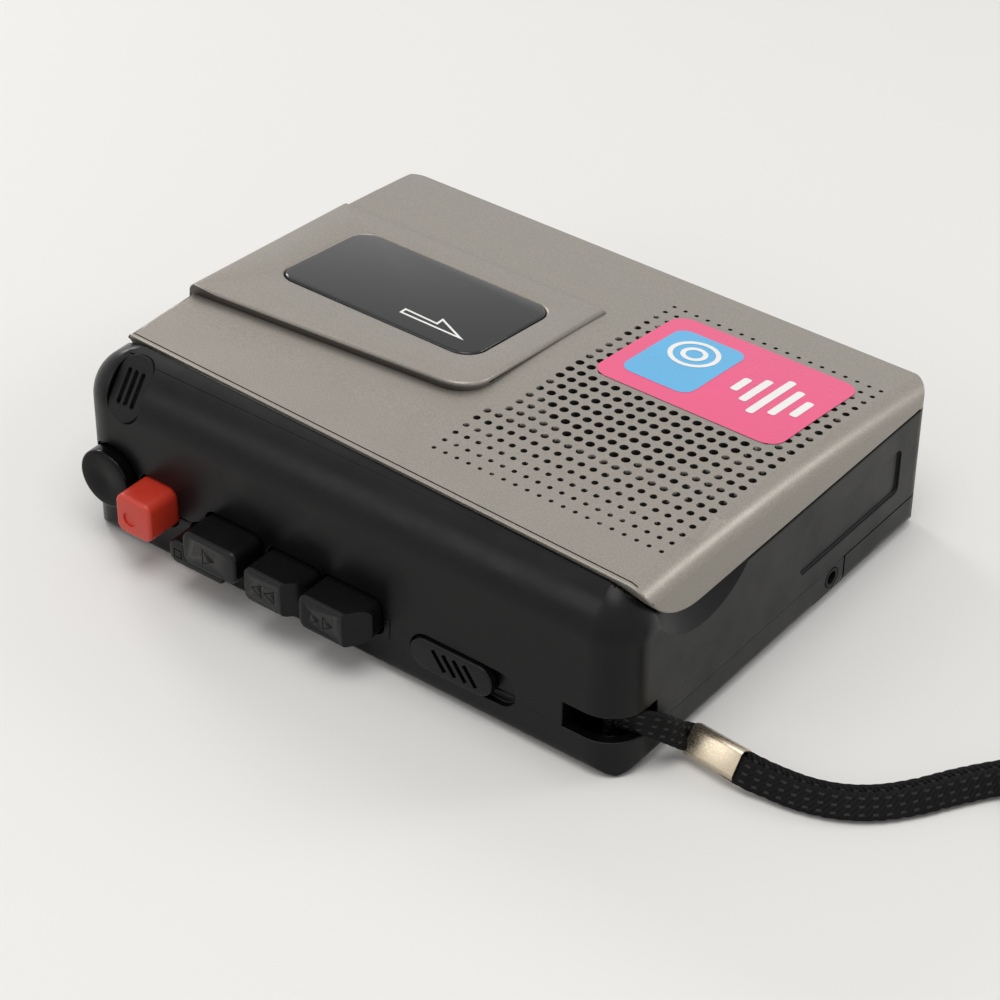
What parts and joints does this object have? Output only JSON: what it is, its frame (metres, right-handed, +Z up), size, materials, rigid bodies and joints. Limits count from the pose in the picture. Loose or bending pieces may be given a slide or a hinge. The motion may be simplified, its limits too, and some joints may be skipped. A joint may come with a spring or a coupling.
{
  "type": "cassette recorder",
  "caption": "Hand-held cassette recorder with a hinged speaker lid, cassette window, push keys, dials, jacks, battery door, belt-driven tape mechanism and wrist strap.",
  "frame": {"origin": "middle of the body's footprint on the face it rests on", "axes": "+X along the body towards the end with the strap, -Y towards the key side, +Z up through the speaker lid"},
  "size_m": [0.2053, 0.0965, 0.0371],
  "materials": {
    "charcoal_case": "satin moulded",
    "silver_lid": "satin silver paint",
    "smoked_pane": "clear gloss",
    "key_plastic": "satin moulded",
    "red_key": "satin moulded",
    "dial_plastic": "gloss moulded",
    "inner_plastic": "matt moulded",
    "cream_plastic": "natural moulded",
    "red_plastic": "moulded",
    "bright_steel": "bright zinc",
    "spring_steel": "nickel plated",
    "dark_steel": "black paint",
    "bronze": "sintered",
    "flywheel_metal": "turned",
    "black_rubber": "matt",
    "board_laminate": "paper laminate",
    "paper_cone": "pressed paper",
    "magnet_ferrite": "dark",
    "braid": "woven",
    "crimp_metal": "pale nickel over brass"
  },
  "bodies": {
    "cabinet": {"rear_cabinet": "charcoal_case", "front_cabinet": "charcoal_case", "battery_box": "inner_plastic", "battery_contacts": "spring_steel", "deck_plate": "dark_steel", "hinge_pins": "bright_steel", "key_guide": "cream_plastic", "volume_pot": "bright_steel", "mic_grille": "charcoal_case", "mic_capsule": "bright_steel", "ear_jack": "inner_plastic", "mic_jack": "red_plastic", "dc_jack": "inner_plastic", "main_board": "board_laminate", "board_parts": "inner_plastic", "motor_can": "bright_steel", "drive_belt": "black_rubber", "capstan_bearing": "bronze", "flywheel_bracket": "bright_steel", "idler_pin": "bright_steel", "spindle_bushes": "bronze", "pinch_pins": "bright_steel", "cabinet_screws": "dark_steel", "deck_screws": "bright_steel", "strap_post_pin": "bright_steel", "strap_anchor": "braid", "strap_crimp": "crimp_metal", "strap_loop": "braid"},
    "lid": {"lid_cover": "silver_lid", "speaker_grille": "silver_lid", "window_pane": "smoked_pane", "lid_liner": "inner_plastic", "cassette_springs": "spring_steel", "speaker_frame": "bright_steel", "speaker_cone": "paper_cone", "speaker_magnet": "magnet_ferrite"},
    "door": {"battery_door": "charcoal_case"},
    "rec": {"rec_key": "red_key"},
    "stop": {"stop_key": "key_plastic"},
    "play": {"play_key": "key_plastic"},
    "rewind": {"rewind_key": "key_plastic"},
    "forward": {"forward_key": "key_plastic"},
    "pause": {"pause_slider": "key_plastic"},
    "volume": {"volume_dial": "dial_plastic"},
    "voice": {"voice_switch": "key_plastic"},
    "speed": {"speed_dial": "dial_plastic"},
    "pulley": {"motor_pulley": "bronze"},
    "fly": {"flywheel": "flywheel_metal", "capstan_shaft": "bright_steel"},
    "idler": {"idler_wheel": "black_rubber"},
    "supply": {"supply_spindle": "cream_plastic", "supply_table": "inner_plastic"},
    "takeup": {"takeup_spindle": "cream_plastic", "takeup_table": "inner_plastic"},
    "heads": {"head_carriage": "bright_steel", "tape_head": "bright_steel", "erase_head": "dark_steel"},
    "pinch": {"pinch_arm": "bright_steel"},
    "roller": {"pinch_roller": "black_rubber"}
  },
  "joints": [
    {"name": "lid_hinge", "type": "hinge", "parent": "cabinet", "child": "lid", "pos_m": [0, 0.0432, 0.0269], "axis": [-1, 0, 0], "range_deg": [0, 80]},
    {"name": "door_slide", "type": "slide", "parent": "cabinet", "child": "door", "axis": [1, 0, 0], "range_m": [0, 0.062]},
    {"name": "rec_press", "type": "slide", "parent": "cabinet", "child": "rec", "axis": [0, 1, 0], "range_m": [0, 0.0036], "stiffness_N_per_m": 250},
    {"name": "stop_press", "type": "slide", "parent": "cabinet", "child": "stop", "axis": [0, 1, 0], "range_m": [0, 0.0036], "stiffness_N_per_m": 250},
    {"name": "play_press", "type": "slide", "parent": "cabinet", "child": "play", "axis": [0, 1, 0], "range_m": [0, 0.0036], "stiffness_N_per_m": 250},
    {"name": "rewind_press", "type": "slide", "parent": "cabinet", "child": "rewind", "axis": [0, 1, 0], "range_m": [0, 0.0036], "stiffness_N_per_m": 250},
    {"name": "forward_press", "type": "slide", "parent": "cabinet", "child": "forward", "axis": [0, 1, 0], "range_m": [0, 0.0036], "stiffness_N_per_m": 250},
    {"name": "pause_slide", "type": "slide", "parent": "cabinet", "child": "pause", "axis": [1, 0, 0], "range_m": [0, 0.004]},
    {"name": "volume_turn", "type": "hinge", "parent": "cabinet", "child": "volume", "pos_m": [-0.0496, -0.045, 0.0132], "axis": [0, -1, 0], "range_deg": [0, 270]},
    {"name": "voice_slide", "type": "slide", "parent": "cabinet", "child": "voice", "axis": [0, 1, 0], "range_m": [0, 0.004]},
    {"name": "speed_turn", "type": "hinge", "parent": "cabinet", "child": "speed", "pos_m": [-0.0519, 0.012, 0.012], "axis": [0, 0, 1], "range_deg": [-60, 60]},
    {"name": "flywheel_spin", "type": "hinge", "parent": "cabinet", "child": "fly", "pos_m": [0.028, -0.02, 0.008], "axis": [0, 0, 1], "continuous": true},
    {"name": "pulley_spin", "type": "hinge", "parent": "cabinet", "child": "pulley", "pos_m": [-0.038, -0.014, 0.006], "axis": [0, 0, 1], "continuous": true},
    {"name": "idler_spin", "type": "hinge", "parent": "cabinet", "child": "idler", "pos_m": [0.02481, -0.00753, 0.014], "axis": [0, 0, 1], "continuous": true},
    {"name": "supply_spin", "type": "hinge", "parent": "cabinet", "child": "supply", "pos_m": [-0.02125, 0.0064, 0.02], "axis": [0, 0, 1], "continuous": true},
    {"name": "takeup_spin", "type": "hinge", "parent": "cabinet", "child": "takeup", "pos_m": [0.02125, 0.0064, 0.02], "axis": [0, 0, 1], "continuous": true},
    {"name": "head_slide", "type": "slide", "parent": "cabinet", "child": "heads", "axis": [0, 1, 0], "range_m": [0, 0.0036]},
    {"name": "pinch_swing", "type": "hinge", "parent": "cabinet", "child": "pinch", "pos_m": [0.04, -0.0292, 0.0175], "axis": [0, 0, -1], "range_deg": [0, 15]},
    {"name": "roller_spin", "type": "hinge", "parent": "pinch", "child": "roller", "pos_m": [0.028, -0.0292, 0.022], "axis": [0, 0, 1], "continuous": true}
  ],
  "couplings": [
    {"joint": "pulley_spin", "follows": "flywheel_spin", "ratio": 4.5714},
    {"joint": "idler_spin", "follows": "flywheel_spin", "ratio": -0.30692},
    {"joint": "takeup_spin", "follows": "flywheel_spin", "ratio": 0.66667},
    {"joint": "head_slide", "follows": "play_press", "ratio": 1},
    {"joint": "pinch_swing", "follows": "play_press", "rad_per_m": 71.7}
  ]
}
